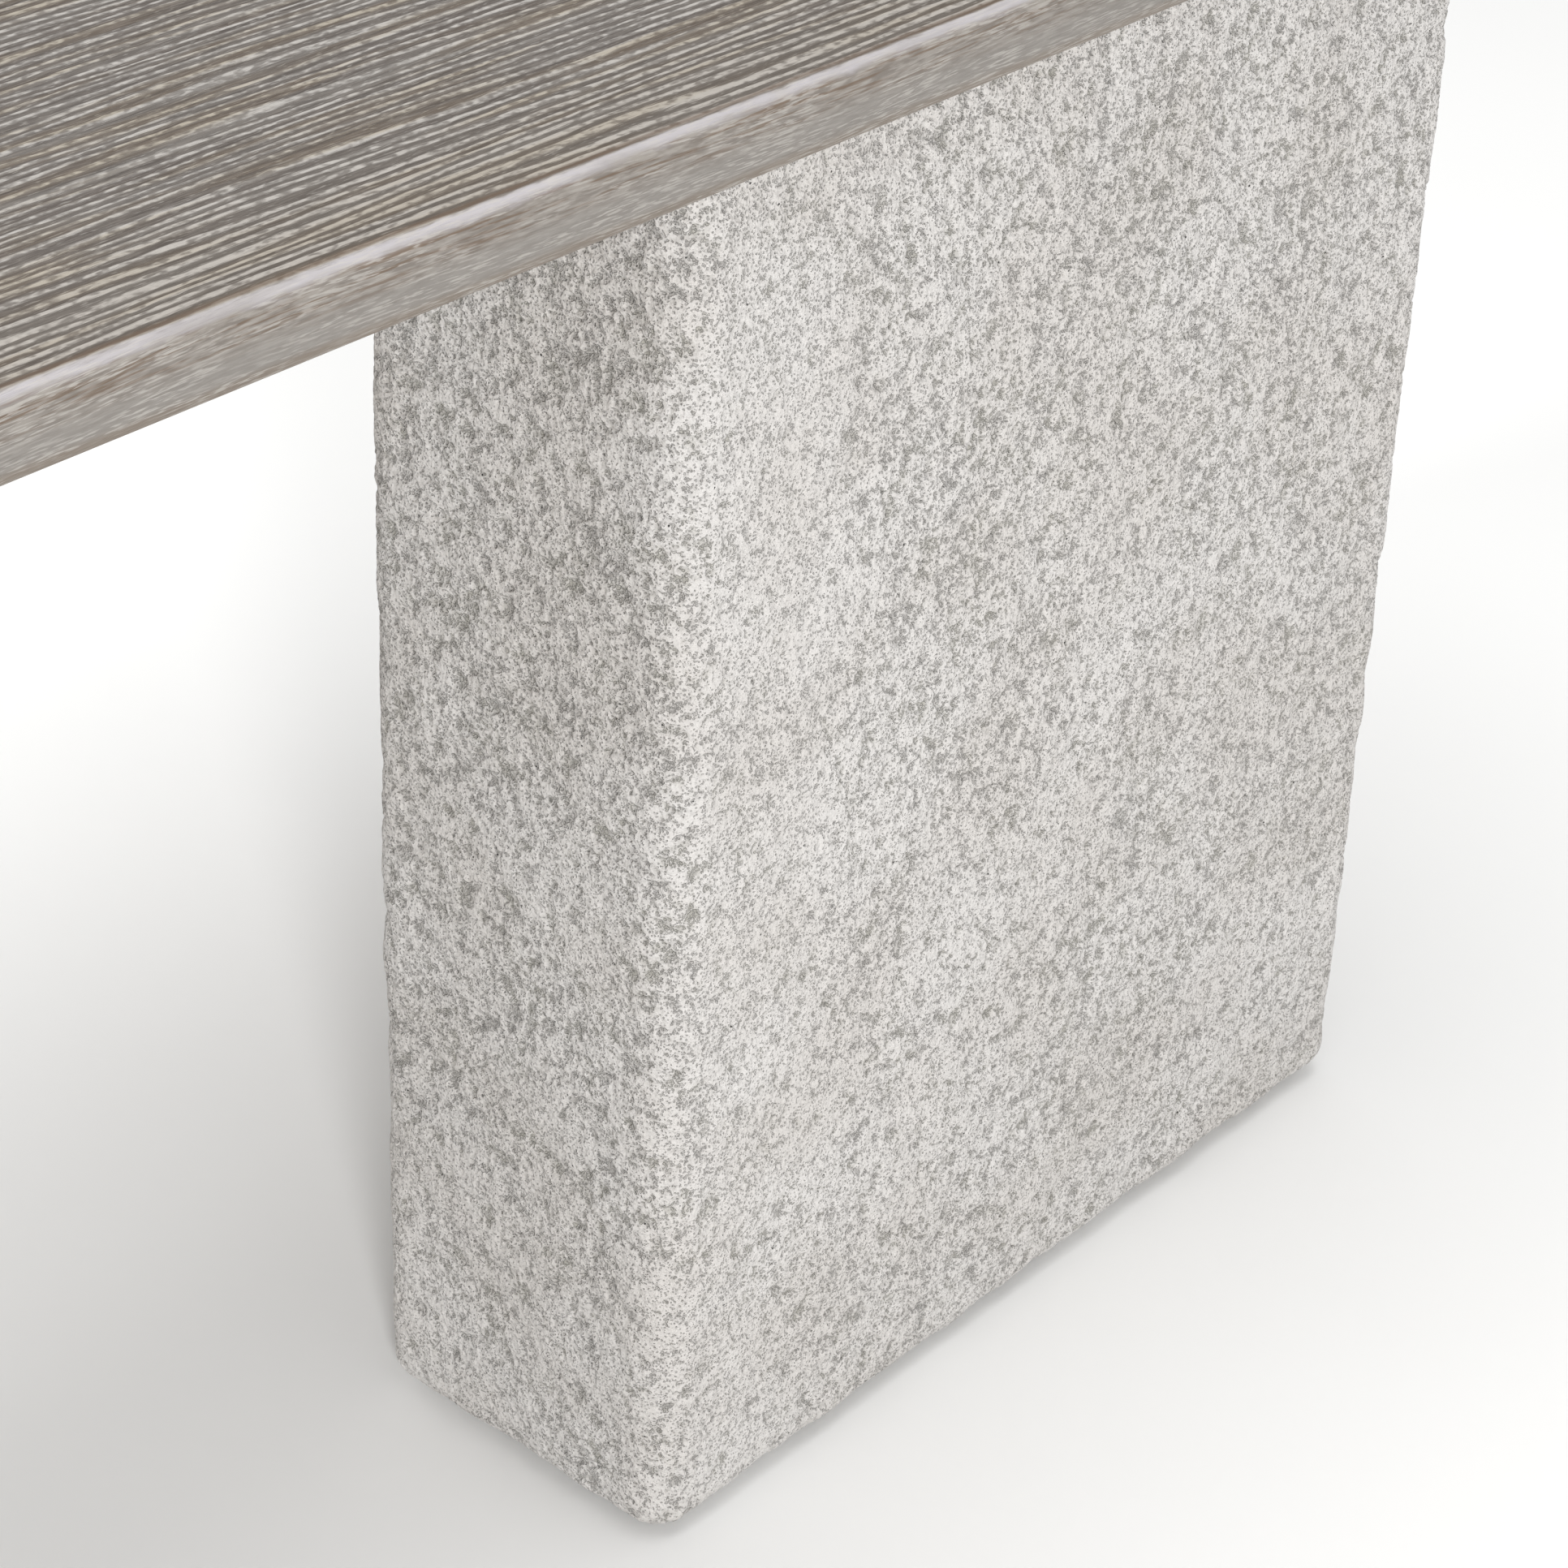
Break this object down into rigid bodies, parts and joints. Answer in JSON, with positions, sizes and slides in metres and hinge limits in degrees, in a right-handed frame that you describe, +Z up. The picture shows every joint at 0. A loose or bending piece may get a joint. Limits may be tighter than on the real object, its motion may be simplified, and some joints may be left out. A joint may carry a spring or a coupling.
{
  "type": "garden bench",
  "caption": "Backless garden bench: a thin wire-brushed wooden seat with rounded edges on L-shaped, rough cast concrete corner legs.",
  "frame": {"origin": "on the floor under the bench's centre", "axes": "+X along the bench towards its right end as seen from the front, +Y to the rear, +Z up"},
  "size_m": [1.22, 0.384, 0.44],
  "materials": {
    "seat_wood": "matte",
    "batten_wood": "matte",
    "cast_concrete": "matte",
    "foam": "matte",
    "fibre_cement": "matte",
    "coated_steel": "satin",
    "zinc_steel": "satin",
    "brass": "satin",
    "nylon": "matte"
  },
  "bodies": {
    "root": {"seat_board_front": "seat_wood", "seat_board_rear": "seat_wood", "batten_1": "batten_wood", "batten_1_screw_1": "zinc_steel", "batten_1_screw_2": "zinc_steel", "batten_1_screw_3": "zinc_steel", "batten_1_screw_4": "zinc_steel", "batten_2": "batten_wood", "batten_2_screw_1": "zinc_steel", "batten_2_screw_2": "zinc_steel", "batten_2_screw_3": "zinc_steel", "batten_2_screw_4": "zinc_steel", "leg_left_shell": "cast_concrete", "leg_left_core": "foam", "leg_left_base_board": "fibre_cement", "leg_left_mounting_plate": "coated_steel", "leg_left_sleeve_1": "brass", "leg_left_plate_screw_1": "zinc_steel", "leg_left_sleeve_2": "brass", "leg_left_plate_screw_2": "zinc_steel", "leg_left_sleeve_3": "brass", "leg_left_plate_screw_3": "zinc_steel", "seat_insert_left_1": "brass", "seat_bolt_left_1": "zinc_steel", "seat_insert_left_2": "brass", "seat_bolt_left_2": "zinc_steel", "seat_insert_left_3": "brass", "seat_bolt_left_3": "zinc_steel", "seat_insert_left_4": "brass", "seat_bolt_left_4": "zinc_steel", "leg_left_glide_1": "nylon", "leg_left_glide_2": "nylon", "leg_left_glide_3": "nylon", "leg_left_glide_4": "nylon", "leg_left_glide_5": "nylon", "leg_right_shell": "cast_concrete", "leg_right_core": "foam", "leg_right_base_board": "fibre_cement", "leg_right_mounting_plate": "coated_steel", "leg_right_sleeve_1": "brass", "leg_right_plate_screw_1": "zinc_steel", "leg_right_sleeve_2": "brass", "leg_right_plate_screw_2": "zinc_steel", "leg_right_sleeve_3": "brass", "leg_right_plate_screw_3": "zinc_steel", "seat_insert_right_1": "brass", "seat_bolt_right_1": "zinc_steel", "seat_insert_right_2": "brass", "seat_bolt_right_2": "zinc_steel", "seat_insert_right_3": "brass", "seat_bolt_right_3": "zinc_steel", "seat_insert_right_4": "brass", "seat_bolt_right_4": "zinc_steel", "leg_right_glide_1": "nylon", "leg_right_glide_2": "nylon", "leg_right_glide_3": "nylon", "leg_right_glide_4": "nylon", "leg_right_glide_5": "nylon"}
  },
  "joints": []
}
